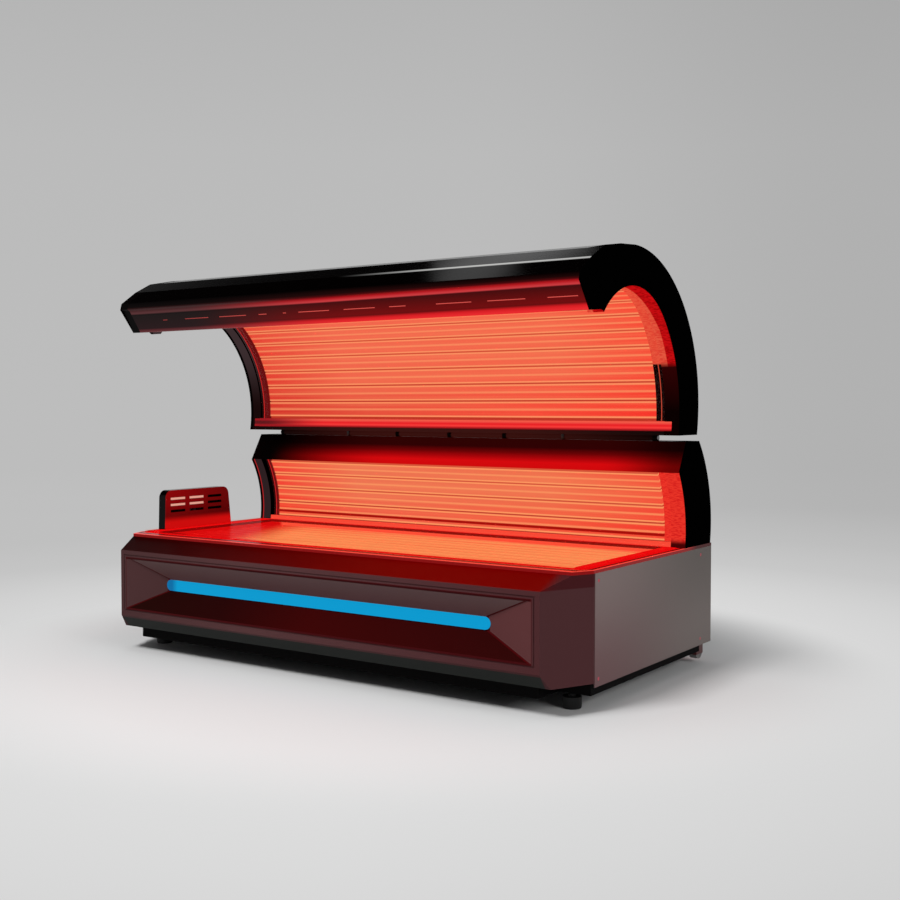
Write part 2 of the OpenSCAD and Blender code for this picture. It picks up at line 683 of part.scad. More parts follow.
// The rod's eye rides loosely on the crank's pin, off its centre at rest
rod_eye = crank + [1.7, -2.9];
spring_v = rod_eye - spring_foot;
spring_len = norm(spring_v);
spring_a = atan2(spring_v[1], spring_v[0]);
spring_x = arm_x + arm_t / 2 + 7;
eye_w = 10;
pin_x0 = arm_x + arm_t / 2;
crank_pin_r = 5;
open_gap = 4.5;
eye_r = crank_pin_r + open_gap + 5;
neck_w = 18;
hub_r = 15;
arm_head_w = 30;
canopy_beam_z = hinge_z + 58;
canopy_beam_h = 40;
canopy_beam_y = hinge_y - 22;
canopy_beam_w = 60;
arm_foot_t = 6;
module hinge_arm() {
    difference() {
        union() {
            disc_x(arm_x - arm_t / 2, arm_x + arm_t / 2, hinge, hub_r);
            box([arm_x - arm_t / 2, hinge_y - arm_head_w / 2, hinge_z],
                [arm_x + arm_t / 2, hinge_y + arm_head_w / 2, canopy_beam_z]);
            box([arm_x - 30, canopy_beam_y, canopy_beam_z - arm_foot_t],
                [arm_x + 30, canopy_beam_y + canopy_beam_w, canopy_beam_z]);
            along_x(arm_x - arm_t / 2, arm_x + arm_t / 2) translate(hinge) rotate(crank_a)
                translate([0, -neck_w / 2]) square([crank_l, neck_w]);
            disc_x(arm_x - arm_t / 2, arm_x + arm_t / 2, crank, 12);
        }
        disc_x(arm_x - arm_t, arm_x + arm_t, hinge, shaft_r + run);
    }
    disc_x(pin_x0, pin_x0 + eye_w + 4, crank, crank_pin_r);
    disc_x(pin_x0 + eye_w + 4, pin_x0 + eye_w + 7, crank, eye_r - 2);
}
module hinge_arms() color([0.3, 0.3, 0.31]) both_ends() hinge_arm();

// Along the spring from its foot, in its own plane
module along_spring() translate([spring_x, spring_foot[0], spring_foot[1]]) rotate([spring_a, 0, 0])
    rotate([-90, 0, 0]) children();
foot_eye_r = 11;
foot_pin_r = 5;
tube_start = 18;
tube_end = 0.66 * spring_len;
rod_in = 0.38 * spring_len;
module spring_cylinder() difference() {
    union() {
        disc_x(spring_x - eye_w / 2, spring_x + eye_w / 2, spring_foot, foot_eye_r);
        along_spring() {
            cylinder(h = tube_start + 2, r = 6);
            translate([0, 0, tube_start]) cylinder(h = tube_end - tube_start, r = spring_r);
        }
    }
    disc_x(spring_x - eye_w, spring_x + eye_w, spring_foot, foot_pin_r + run);
    along_spring() translate([0, 0, tube_start + 6]) cylinder(h = spring_len, r = rod_r + run);
}
module spring_rod() difference() {
    union() {
        disc_x(spring_x - eye_w / 2, spring_x + eye_w / 2, rod_eye, eye_r);
        along_spring() translate([0, 0, rod_in])
            cylinder(h = spring_len - rod_in - crank_pin_r - open_gap, r = rod_r);
    }
    disc_x(spring_x - eye_w, spring_x + eye_w, rod_eye, crank_pin_r + open_gap);
}
module spring_cylinder_left() color([0.05, 0.05, 0.05]) mirror([1, 0, 0]) spring_cylinder();
module spring_cylinder_right() color([0.05, 0.05, 0.05]) spring_cylinder();
module spring_rod_left() color([0.7, 0.7, 0.72]) mirror([1, 0, 0]) spring_rod();
module spring_rod_right() color([0.7, 0.7, 0.72]) spring_rod();
// Each bracket stands on the back's cross beam and holds the pin of one spring
ear_t = 4;
module spring_bracket() {
    y1 = back_beam_y + beam_h;
    top = back_beam_z + beam_h;
    for (x = [spring_x - eye_w / 2 - 1 - ear_t, spring_x + eye_w / 2 + 1]) difference() {
        box([x, spring_foot[0] - 10, top], [x + ear_t, spring_foot[0] + 12, spring_foot[1] + 9]);
        disc_x(x - eps, x + ear_t + eps, spring_foot, foot_pin_r);
    }
    box([spring_x - eye_w / 2 - 1 - ear_t, spring_foot[0] - 10, top],
        [spring_x + eye_w / 2 + 1 + ear_t, spring_foot[0] + 12, top + 4]);
    disc_x(spring_x - eye_w / 2 - 1 - ear_t, spring_x + eye_w / 2 + 1 + ear_t, spring_foot, foot_pin_r);
}
module spring_brackets() color([0.3, 0.3, 0.31]) both_ends() spring_bracket();

// Canopy, arcs in [y, z]
shell_c = [rear_y - 137 - shell_r, ridge_z + 139];
rear_c = [hinge_y - 582, ridge_z + 105];
step_r = rear_r - top_r;
top_c = rear_c + step_r * [cos(45), sin(45)];
sill_z = ridge_z + hinge_gap;
roof_z = shell_c[1] + shell_r;
crest = [shell_c[0], roof_z];
lip = top_c + [8.7 - top_r - wall - bar_t, 219.3];
ledge = lip + [-70, 93];
canopy_front = [
    crest, crest + [-115, -8], crest + [-240, -32], lip + [12, 172], lip + [-63, 119], ledge, lip,
    lip + [88, 7]
];
front_i = 2;
// Space under the clear sheet, v further out than the sheet's inner face
module canopy_void(v) {
    far = 4 * shell_r;
    intersection() {
        disc(top_c, top_r + v);
        polygon([top_c + far * [1, 1], top_c + far * [-1, 1], top_c + far * [-1, -1]]);
    }
    intersection() {
        disc(rear_c, rear_r + v);
        polygon([rear_c + far * [1, 1], rear_c + far * [1, -1], rear_c + far * [-1, -1]]);
    }
}
// Region of the canopy seen from the end, outer faces moved in by d
module canopy_profile(d, v) difference() {
    union() {
        intersection() {
            disc(shell_c, shell_r - d);
            translate([shell_c[0], sill_z + d]) square([2 * shell_r, 2 * shell_r]);
        }
        polygon(concat(inset_path(canopy_front, d), [[shell_c[0], top_c[1] + 60]]));
    }
    canopy_void(v);
}
cap_proud = 8;
// Ahead of the shell the cap is only a plate, so that the fascia runs out to it
module fascia_zone() polygon([
    canopy_front[front_i] + 40 * left_of(canopy_front[3], canopy_front[front_i]),
    canopy_front[front_i], inset_point(canopy_front, front_i, 50), lip + [100, 57], lip + [100, 14],
    lip + [94, 8], lip + [92, -40], lip + [-200, -40], lip + [-200, 300]
]);
module canopy_cap() difference() {
    along_x(cap_x, half_l) canopy_profile(0, -cap_proud);
    along_x(cap_x - eps, half_l - wall) {
        canopy_profile(wall, wall - cap_proud);
        fascia_zone();
    }
}
module canopy_cap_left() color([0.02, 0.02, 0.02]) mirror([1, 0, 0]) canopy_cap();
module canopy_cap_right() color([0.02, 0.02, 0.02]) canopy_cap();

module canopy_shell() color([0.03, 0.03, 0.03]) along_x(-sheet_x, sheet_x) {
    between(sill_z + wall, roof_z) sector(shell_c, shell_r - wall, shell_r, -20, 90);
    strip_part(canopy_front, wall, 0, front_i);
}

step = [12, -6];
face_v = unit(lip - ledge - step);
face_a = atan2(face_v[1], face_v[0]);
fascia_path = [
    canopy_front[1], canopy_front[front_i], canopy_front[3], canopy_front[4], ledge, ledge + step,
    lip, lip + [88, 7], lip + [98, 17]
];
face_mid = (ledge + step + lip) / 2;
fascia_x = half_l - wall - fit;
// Row of short light slots: centre and length as parts of the bed length
fascia_slots = [
    [-0.396, 0.014], [-0.312, 0.063], [-0.22, 0.069], [-0.146, 0.021], [-0.094, 0.009], [-0.027, 0.071],
    [0.073, 0.068], [0.153, 0.035], [0.264, 0.069], [0.362, 0.07], [0.461, 0.053]
];
slot_h = 5;
module fascia_slot_row(m, t)
    for (k = fascia_slots) let (s = k * bed_l)
        translate([s[0] - s[1] / 2 - m, face_mid[0], face_mid[1]]) rotate([face_a, 0, 0])
        translate([0, -slot_h / 2 - m, -t]) cube([s[1] + 2 * m, slot_h + 2 * m, 2 * t]);
module canopy_fascia() color([0.09, 0.02, 0.02]) difference() {
    along_x(-fascia_x, fascia_x) strip_part(fascia_path, wall, 1, len(fascia_path) - 1);
    fascia_slot_row(0, 3 * wall);
}
light_t = 6;
light_x = half_l - 20;
module fascia_light() color([0.9, 0.2, 0.2])
    translate([-light_x, face_mid[0], face_mid[1]]) rotate([face_a, 0, 0])
        translate([0, -9, wall + fit]) cube([2 * light_x, 18, light_t]);

sheet_low_a = -3;
sheet_front_a = 134;
// The top arc starts a hair before 45 degrees, so that it runs into the rear arc
join_a = 44.997;
bar_top_r = top_r + curved_sheet_t + sheet_gap;
bar_rear_r = rear_r + curved_sheet_t + sheet_gap;
module canopy_sheet() color([0.95, 0.35, 0.3, 0.4]) along_x(-sheet_x, sheet_x) {
    sector(top_c, top_r, top_r + curved_sheet_t, join_a, sheet_front_a);
    sector(rear_c, rear_r, rear_r + curved_sheet_t, sheet_low_a, 45);
}
module canopy_light_bars() color([0.98, 0.45, 0.35]) {
    curved_bars(top_c, bar_top_r, 45, sheet_front_a - 4);
    curved_bars(rear_c, bar_rear_r, sheet_low_a + 0.8, 45);
}
refl_top_r = bar_top_r + bar_t + fit;
refl_rear_r = bar_rear_r + bar_t + fit;
module canopy_reflector() color([0.8, 0.25, 0.22]) along_x(-sheet_x, sheet_x) {
    sector(top_c, refl_top_r, refl_top_r + reflector_t, join_a, sheet_front_a);
    sector(rear_c, refl_rear_r, refl_rear_r + reflector_t, sheet_low_a, 45);
}
// Curved end plates that the light bars are fixed to
module canopy_holders() color([0.06, 0.03, 0.03]) both_ends() along_x(bar_x, sheet_x) {
    sector(top_c, top_r + curved_sheet_t + fit, refl_top_r - fit, 45, sheet_front_a);
    sector(rear_c, rear_r + curved_sheet_t + fit, refl_rear_r - fit, sheet_low_a, 45);
}
rail_low_z = sill_z + 16;
rail_x = half_l - 31;
rail_a = sheet_low_a - 0.1;
// The rail's front lies over the caps, so it is longer than its body
module canopy_rail() color([0.8, 0.05, 0.08]) {
    along_x(-sheet_x, sheet_x) between(rail_low_z, rear_c[1])
        sector(rear_c, rear_r - 10, refl_rear_r + reflector_t, -20, rail_a);
    along_x(-rail_x, rail_x) between(rail_low_z + 1, rear_c[1])
        sector(rear_c, rear_r - 12.5, rear_r - cap_proud - fit, -20, rail_a - 0.2);
}

sill_front_y = rear_c[0] + (rear_r - 6) * cos(angle_at(rear_c, rear_r, sill_z));
sill_rear_y = shell_c[0] + shell_r * cos(angle_at(shell_c, shell_r, sill_z)) - 1;
module canopy_sill() color([0.05, 0.02, 0.02]) difference() {
    union() {
        box([-sheet_x, sill_front_y, sill_z], [sheet_x, sill_rear_y, sill_z + wall]);
        box([-sheet_x, sill_front_y, sill_z], [sheet_x, sill_front_y + wall, rail_low_z - fit]);
    }
    for (x = [-arm_x, arm_x])
        box([x - arm_t / 2 - 1, hinge_y - arm_head_w / 2 - 1, sill_z - eps],
            [x + arm_t / 2 + 1, hinge_y + arm_head_w / 2 + 1, sill_z + wall + eps]);
}
module canopy_beam_at(m)
    box([-sheet_x - m, canopy_beam_y - m, canopy_beam_z - m],
        [sheet_x + m, canopy_beam_y + canopy_beam_w + m, canopy_beam_z + canopy_beam_h + m]);
module canopy_beam() color([0.12, 0.12, 0.12])
    square_tube(canopy_beam_y, canopy_beam_z, canopy_beam_w, canopy_beam_h, tube_t);
module canopy_ribs() color([0.12, 0.12, 0.12]) difference() {
    for (x = rib_x) along_x(x - rib_t / 2, x + rib_t / 2) difference() {
        canopy_profile(wall + fit, rib_void);
        translate(canopy_front[front_i] + [wall - 400, -400]) square([400, 500]);
    }
    canopy_beam_at(fit);
}

// Air pod that stands on the trim at the foot end
pod_x0 = -half_l;
pod_x1 = pod_x0 + pod_t;
pod_rear_y = front_y + pod_back;
pod_front_y = pod_rear_y - pod_l;
pod_top = deck_z + pod_h;
pod_corner = 34;
pod_lean = 16;
grille_t = 4;
module pod_outline(d) {
    r = pod_corner - d;
    hull() {
        translate([pod_front_y + d, deck_z + d]) square([pod_l - 2 * d, 1]);
        disc([pod_front_y + pod_corner + 4, pod_top - pod_corner], r, $fn = 32);
        disc([pod_rear_y - pod_corner - pod_lean, pod_top - pod_corner], r, $fn = 32);
    }
}
pod_wall = 3;
slot_w = 88;
slot_gap = 23;
pod_slot_h = 12;
slot_rows = 3;
slot_pitch = 27;
slots_y = (pod_front_y + pod_rear_y) / 2 - 14;
slots_z = deck_z + 0.62 * pod_h;
rotor_c = [slots_y, slots_z];
pod_fan_r = 56;
pod_motor_r = 18;
module pod_housing() color([0.03, 0.03, 0.03]) {
    difference() {
        along_x(pod_x0, pod_x1 - grille_t) pod_outline(0);
        along_x(pod_x0 + pod_wall, pod_x1) pod_outline(pod_wall);
    }
    disc_x(pod_x0 + pod_wall, pod_x0 + 12, rotor_c, pod_motor_r);
    disc_x(pod_x0 + pod_wall, pod_x1 - grille_t - 4, rotor_c, pin_r);
}
module pod_grille() color([0.45, 0.01, 0.01]) difference() {
    along_x(pod_x1 - grille_t, pod_x1) pod_outline(0);
    for (c = [-1 : 1], r = [-1 : 1]) {
        y = slots_y + c * (slot_w + slot_gap);
        z = slots_z + r * slot_pitch;
        box([pod_x1 - 2 * grille_t, y - slot_w / 2, z - pod_slot_h / 2],
            [pod_x1 + eps, y + slot_w / 2, z + pod_slot_h / 2]);
    }
}
pod_rotor_w = 14;
module pod_rotor() color([0.1, 0.1, 0.1]) translate([pod_x0 + 12 + fit, rotor_c[0], rotor_c[1]])
    rotate([0, 0, -90])
    rotor(pod_fan_r, pod_motor_r, pod_rotor_w);

base_frame();
floor_pan();
levelling_feet();
front_panel();
light_strip();
strip_channel();
end_panel_left();
end_panel_right();
end_panel_screws();
rear_panel();
mains_inlet();
deck_trim();
deck_sheet();
deck_tray();
deck_light_bars();
power_drivers();
control_box();
fan_housing_left();
fan_housing_right();
fan_rotor_left();
fan_rotor_right();
roller_bracket_left();
roller_bracket_right();
roller_wheel_left();
roller_wheel_right();
back_shell();
back_brow();
back_cap_left();
back_cap_right();
back_sheet();
back_light_bars();
back_reflector();
back_rail();
back_ribs();
back_beam();
hinge_shaft();
hinge_blocks();
hinge_cover();
spring_brackets();
spring_cylinder_left();
spring_cylinder_right();
spring_rod_left();
spring_rod_right();
hinge_arms();
canopy_beam();
canopy_ribs();
canopy_shell();
canopy_fascia();
fascia_light();
canopy_cap_left();
canopy_cap_right();
canopy_sheet();
canopy_light_bars();
canopy_reflector();
canopy_holders();
canopy_rail();
canopy_sill();
pod_housing();
pod_grille();
pod_rotor();
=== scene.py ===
import math

import bpy
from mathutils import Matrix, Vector


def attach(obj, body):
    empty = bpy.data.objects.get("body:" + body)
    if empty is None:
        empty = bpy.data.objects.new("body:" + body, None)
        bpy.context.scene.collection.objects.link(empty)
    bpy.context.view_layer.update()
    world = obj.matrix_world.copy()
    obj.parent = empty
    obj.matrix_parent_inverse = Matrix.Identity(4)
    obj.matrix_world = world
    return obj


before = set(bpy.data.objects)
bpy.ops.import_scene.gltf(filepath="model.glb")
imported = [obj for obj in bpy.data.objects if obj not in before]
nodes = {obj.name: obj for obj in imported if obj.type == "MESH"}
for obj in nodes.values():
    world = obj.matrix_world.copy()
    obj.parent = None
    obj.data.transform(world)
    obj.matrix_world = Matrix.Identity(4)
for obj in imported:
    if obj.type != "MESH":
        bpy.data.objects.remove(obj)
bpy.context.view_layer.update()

# X runs along the bed, Y points to its back and Z is up, in metres. A plain tuple of three numbers
# from 0 to 255 is a display colour.


def linear(r, g, b):
    """Linear colour of an 8-bit display colour."""
    out = []
    for v in (r, g, b):
        s = v / 255
        out.append(s / 12.92 if s <= 0.04045 else ((s + 0.055) / 1.055) ** 2.4)
    return (*out, 1)


def scaled(colour, k):
    return (*[min(1.0, c * k) for c in colour[:3]], 1)


class Nodes:
    """Short calls for the nodes of one node tree."""

    def __init__(self, tree):
        self.tree = tree

    def put(self, kind, **props):
        node = self.tree.nodes.new("ShaderNode" + kind)
        for key, value in props.items():
            setattr(node, key, value)
        return node

    def wire(self, value, socket):
        if isinstance(value, bpy.types.NodeSocket):
            self.tree.links.new(value, socket)
        elif isinstance(value, tuple) and len(value) == 3:
            socket.default_value = linear(*value)
        else:
            socket.default_value = value

    def math(self, op, a, b=0.0):
        node = self.put("Math", operation=op)
        for value, socket in zip((a, b), node.inputs):
            self.wire(value, socket)
        return node.outputs[0]

    def times(self, first, *others):
        for other in others:
            first = self.math("MULTIPLY", first, other)
        return first

    def hypot(self, a, b):
        return self.math("SQRT", self.math("ADD", self.math("MULTIPLY", a, a), self.math("MULTIPLY", b, b)))

    def spread(self, value, a0, a1, b0=0.0, b1=1.0, smooth=False):
        node = self.put("MapRange", interpolation_type="SMOOTHSTEP" if smooth else "LINEAR")
        for v, key in (
            (value, "Value"), (a0, "From Min"), (a1, "From Max"), (b0, "To Min"), (b1, "To Max"),
        ):
            self.wire(v, node.inputs[key])
        return node.outputs[0]

    def above(self, value, edge, soft):
        """1 where value is past edge and 0 before it, over a band of soft on each side."""
        return self.spread(value, edge - soft, edge + soft)

    def below(self, value, edge, soft):
        return self.spread(value, edge + soft, edge - soft)

    def between(self, value, low, high, soft=0.0003):
        return self.times(self.above(value, low, soft), self.below(value, high, soft))

    def blend(self, factor, a, b):
        node = self.put("Mix", data_type="RGBA")
        self.wire(factor, node.inputs[0])
        self.wire(a, node.inputs[6])
        self.wire(b, node.inputs[7])
        return node.outputs[2]

    def ramp(self, value, *stops):
        """Colour along value: each stop is its place from 0 to 1 and a display colour."""
        node = self.put("ValToRGB")
        self.wire(value, node.inputs[0])
        elements = node.color_ramp.elements
        while len(elements) < len(stops):
            elements.new(0.5)
        for element, (at, *colour) in zip(elements, stops):
            element.position = at
            element.color = linear(*colour)
        return node.outputs[0]


class Finish(Nodes):
    """A material, coloured by where a point lies on the object."""

    def __init__(self, name):
        self.material = bpy.data.materials.new(name)
        self.material.use_nodes = True
        super().__init__(self.material.node_tree)
        self.shader = next(n for n in self.tree.nodes if n.type == "BSDF_PRINCIPLED")
        self.coords = self.put("TexCoord").outputs["Object"]

    def axis(self, name):
        node = self.put("SeparateXYZ")
        self.wire(self.coords, node.inputs[0])
        return node.outputs[name]

    def half(self):
        """Distance from the middle of the bed along X."""
        return self.math("ABSOLUTE", self.axis("X"))

    def noise(self, scale, detail=3.0, stretch=(1, 1, 1)):
        mapping = self.put("Mapping")
        self.wire(self.coords, mapping.inputs["Vector"])
        mapping.inputs["Scale"].default_value = stretch
        node = self.put("TexNoise")
        self.wire(mapping.outputs[0], node.inputs["Vector"])
        node.inputs["Scale"].default_value = scale
        node.inputs["Detail"].default_value = detail
        return node.outputs[0]

    def set(self, **values):
        for key, value in values.items():
            self.wire(value, self.shader.inputs[key.replace("_", " ")])


def solid(name, colour, rough=0.4, metal=0.0, vary=0.08, scale=30, dust=0.05):
    """Plain finish whose colour and roughness drift a little over the piece."""
    t = Finish(name)
    drift = t.noise(scale)
    base = linear(*colour)
    t.set(
        Base_Color=t.blend(drift, scaled(base, 1 - vary), scaled(base, 1 + vary)),
        Roughness=t.spread(drift, 0.3, 0.7, rough, rough + dust),
        Metallic=metal,
    )
    return t


def glow(name, colour, lit, strength, rough=0.35):
    """Plain finish that shows the light of the lamps near it."""
    t = solid(name, colour, rough=rough)
    t.set(Emission_Color=lit, Emission_Strength=strength, Specular_IOR_Level=0.1)
    return t


def give(t, *names):
    for name in names:
        data = nodes[name].data
        data.materials.clear()
        data.materials.append(t.material)


def offset(t, centre):
    """Y and Z from an axis along X that passes through centre."""
    return t.math("SUBTRACT", t.axis("Y"), centre[0]), t.math("SUBTRACT", t.axis("Z"), centre[1])


def ring(t, centre):
    return t.hypot(*offset(t, centre))


def turn(t, centre):
    """Angle round centre in degrees, from straight back."""
    dy, dz = offset(t, centre)
    return t.math("MULTIPLY", t.math("ARCTAN2", dz, dy), 180 / math.pi)


def lamp_lit_scratched(t, colour, dark):
    """Painted lamp light: bright red with fine slanting marks, as on brushed sheet lit from the side."""
    marks = t.noise(60, 2, (1.0, 0.4, 6))
    return t.blend(t.spread(marks, 0.45, 0.6, smooth=True), colour, dark)


def painted_shade_brown(t):
    """Painted shade on the unlit inner edge at the left: brown, lighter towards the top."""
    return t.blend(t.spread(t.axis("Z"), 1.0, 1.3, smooth=True), (26, 10, 10), (62, 48, 50))


# Centres of the lamps' arcs, as (y, z)
TOP_C = (-0.0963, 1.1137)
REAR_C = (-0.220, 0.990)
BACK_C = (-0.092, 0.540)
# Radii inside which a cap's edge faces the lamps, and where the canopy's two arcs meet
TOP_R = 0.334
REAR_R = 0.509
BACK_R = 0.4391
ARCS_MEET_Y = -0.100
ARCS_MEET_Z = 1.344
# The base: half its length, its front face, and the outer edge of the deck's top
HALF_L = 1.100
FRONT_Y = -0.593
TRIM_Y = -0.478
# Ends of the colour ramps that run along the lamps
LAMP_END = 1.01


# Black covers
def black(name, spec=0.1):
    t = solid(name, (1, 1, 1), rough=0.14, vary=0.2, dust=0.03, scale=8)
    t.set(Specular_IOR_Level=spec)
    return t


give(black("black_gloss"), "canopy_shell", "back_shell", "pod_housing")


def cap(name, inside, shade):
    """End cap: black outside, with the lamps' light painted by shade on its hollow edge, which faces them.
    """
    t = black(name, spec=0.0)
    lit = t.times(inside(t), t.below(t.half(), 1.0990, 0.0002), 0.9)
    t.set(Emission_Color=shade(t), Emission_Strength=lit)
    return t


def in_canopy(t):
    """Inside the canopy's two inner arcs."""
    top = t.below(ring(t, TOP_C), TOP_R, 0.0005)
    rear = t.below(ring(t, REAR_C), REAR_R, 0.0005)
    behind = t.above(t.axis("Y"), ARCS_MEET_Y, 0.001)
    rear = t.times(rear, t.below(t.axis("Z"), ARCS_MEET_Z, 0.001), behind)
    return t.math("MAXIMUM", top, rear)


def in_back(t):
    return t.below(ring(t, BACK_C), BACK_R, 0.0006)


def canopy_right_lamp_light(t):
    """Painted lamp light: a shaded dark red foot, salmon by the lamps, deep red past a slanting line."""
    x, z = t.axis("X"), t.axis("Z")
    salmon = lamp_lit_scratched(t, (238, 92, 66), (228, 64, 48))
    deep = lamp_lit_scratched(t, (208, 14, 18), (168, 6, 9))
    line = t.math("SUBTRACT", 1.066, t.spread(z, 1.30, 1.43, 0.0, 0.02))
    lit = t.blend(t.above(t.math("SUBTRACT", x, line), 0.0, 0.001), salmon, deep)
    foot = t.blend(t.spread(z, 1.0, 1.17), (10, 1, 1), (48, 3, 4))
    return t.blend(t.above(z, 1.175, 0.010), foot, lit)


def back_right_lamp_light(t):
    # Painted lamp light: bright red, with painted shade at its foot
    foot = t.spread(t.axis("Z"), 0.515, 0.490, smooth=True)
    return t.blend(foot, lamp_lit_scratched(t, (244, 56, 42), (222, 34, 30)), (70, 3, 4))


def canopy_left_painted_shade(t):
    # Painted shade: dim brown inside the edge, near black outside it
    return t.blend(t.below(t.axis("X"), -1.0845, 0.0005), painted_shade_brown(t), (3, 1, 1))


def back_left_lamp_light(t):
    # Painted lamp light: near black at the far left, then a bright red line, then dim brown
    x = t.axis("X")
    edge = t.blend(t.between(x, -1.085, -1.080), (48, 34, 36), (190, 38, 40))
    return t.blend(t.below(x, -1.0855, 0.0005), edge, (3, 1, 1))


give(cap("canopy_cap_lit", in_canopy, canopy_right_lamp_light), "canopy_cap_right")
give(cap("back_cap_lit", in_back, back_right_lamp_light), "back_cap_right")
give(cap("canopy_cap_dim", in_canopy, canopy_left_painted_shade), "canopy_cap_left")
give(cap("back_cap_dim", in_back, back_left_lamp_light), "back_cap_left")


def front_finish():
    """Front panel: each face of the moulding has its own depth of colour, as painted light and shade."""
    t = solid("front_maroon", (80, 46, 47), rough=0.36, vary=0.03, scale=6)
    t.set(Specular_IOR_Level=0.02)
    x, y, z = t.axis("X"), t.axis("Y"), t.axis("Z")
    half = t.math("ABSOLUTE", x)
    run = t.spread(x, -HALF_L, HALF_L)
    recess_half = 0.975
    groove_half = 0.976
    groove_shade = (62, 11, 14)

    # The recess: sloped faces above and below its light and slanted end faces, in painted light and shade
    upper = t.blend(t.spread(z, 0.30, 0.39), (94, 60, 60), (100, 78, 78))
    lower = t.ramp(run, (0.05, 28, 7, 5), (0.3, 34, 5, 5), (0.5, 52, 5, 5), (0.9, 42, 6, 6))
    slopes = t.blend(t.below(z, 0.2885, 0.0005), upper, lower)
    end_slant = 190 / 53
    end_run = t.math("SUBTRACT", recess_half, t.times(t.math("SUBTRACT", y, FRONT_Y), end_slant))
    to_crease = t.math("SUBTRACT", half, end_run)
    # Painted shade along the creases at the recess's ends, and along its top edge
    slopes = t.blend(t.between(to_crease, -0.016, -0.005), slopes, (66, 6, 9))
    end_slope = t.blend(t.above(x, 0.0, 0.2), (71, 46, 47), (88, 50, 51))
    slopes = t.blend(t.above(to_crease, -0.0025, 0.0015), slopes, end_slope)
    slopes = t.blend(t.above(z, 0.38675, 0.00075), slopes, groove_shade)

    # The upright face round the recess, with painted shade along the groove between them
    face = t.ramp(run, (0.05, 70, 45, 46), (0.35, 80, 52, 53), (0.95, 72, 40, 42))
    border = t.times(t.between(z, 0.1770, 0.3960, 0.0006), t.below(half, groove_half, 0.0005))
    recess = t.times(
        t.above(y, -0.5927, 0.0002), t.between(z, 0.185, 0.393), t.below(half, recess_half, 0.0005),
    )
    colour = t.blend(border, face, groove_shade)
    colour = t.blend(recess, colour, slopes)

    # The slope below it and the slanted corners, in painted light and shade
    colour = t.blend(t.below(z, 0.14325, 0.00075), colour, (38, 40, 38))
    left_corner = t.blend(t.above(z, 0.400, 0.005), (98, 104, 101), (6, 5, 5))
    colour = t.blend(t.above(half, 1.0060, 0.0005), colour, (71, 42, 44))
    colour = t.blend(t.below(x, -1.0635, 0.0015), colour, left_corner)
    # The sloped band under the deck trim, painted with the lamps' red light
    band = t.blend(t.spread(x, -1.05, 0.7, smooth=True), (28, 1, 1), (92, 0, 0))
    band = t.blend(t.spread(x, 0.99, 1.04, smooth=True), band, (62, 24, 27))
    band = t.blend(t.spread(x, -1.02, -1.05, smooth=True), band, (10, 2, 2))
    t.set(Base_Color=t.blend(t.above(z, 0.4225, 0.001), colour, band))
    return t


give(front_finish(), "front_panel")

# End panels: painted light and shade, which change their tone with height and from front to back
end = solid("end_brown", (116, 101, 99), rough=0.42, vary=0.02, scale=5)
end.set(Specular_IOR_Level=0.04)
rise = end.spread(end.axis("Z"), 0.1, 0.47, smooth=True)
rear = end.spread(end.axis("Y"), -0.4, 0.5, smooth=True)
end_low = end.blend(rear, (102, 78, 79), (112, 103, 100))
end_high = end.blend(rear, (118, 104, 102), (96, 90, 87))
end.set(Base_Color=end.blend(rise, end_low, end_high))
give(end, "end_panel_left", "end_panel_right")


def trim_finish():
    """Deck trim in painted lamp light: a highlight on its outer edge, bright under the sheet, dark between.
    """
    t = solid("trim_red", (60, 2, 4), rough=0.25, vary=0.03)
    t.set(Specular_IOR_Level=0.1)
    y, z = t.axis("Y"), t.axis("Z")
    half = t.half()
    # The bands are wider along the front and the corners than along the sides
    back = t.math("SUBTRACT", y, TRIM_Y)
    to_side = t.math("SUBTRACT", HALF_L, half)
    to_front = t.math("DIVIDE", back, 2.3)
    to_corner = t.math("ADD", t.times(t.math("SUBTRACT", 1.062, half), 0.899), t.times(back, 0.438))
    margin = t.math("MINIMUM", t.math("MINIMUM", to_side, to_front), to_corner)
    tone = t.ramp(
        t.spread(margin, 0.0, 0.05),
        (0.0, 238, 76, 64), (0.13, 222, 30, 30), (0.2, 70, 3, 4),
        (0.36, 60, 2, 3), (0.46, 196, 7, 10), (1.0, 208, 8, 11),
    )
    tone = t.blend(t.above(z, 0.4770, 0.0005), (120, 5, 5), tone)
    # Painted shade at the rear, where the trim is unlit
    tone = t.blend(t.spread(y, 0.35, 0.46, smooth=True), tone, (24, 2, 2))
    t.set(Emission_Color=tone, Emission_Strength=1.0)
    return t


give(trim_finish(), "deck_trim")

# Lights
strip = solid("blue_light", (2, 50, 80), rough=0.4, vary=0.02)
strip_tone = strip.blend(strip.above(strip.axis("X"), -0.740, 0.015), (6, 104, 156), (4, 155, 206))
strip.set(Emission_Color=strip_tone, Emission_Strength=0.88, Specular_IOR_Level=0.05)
give(strip, "light_strip")


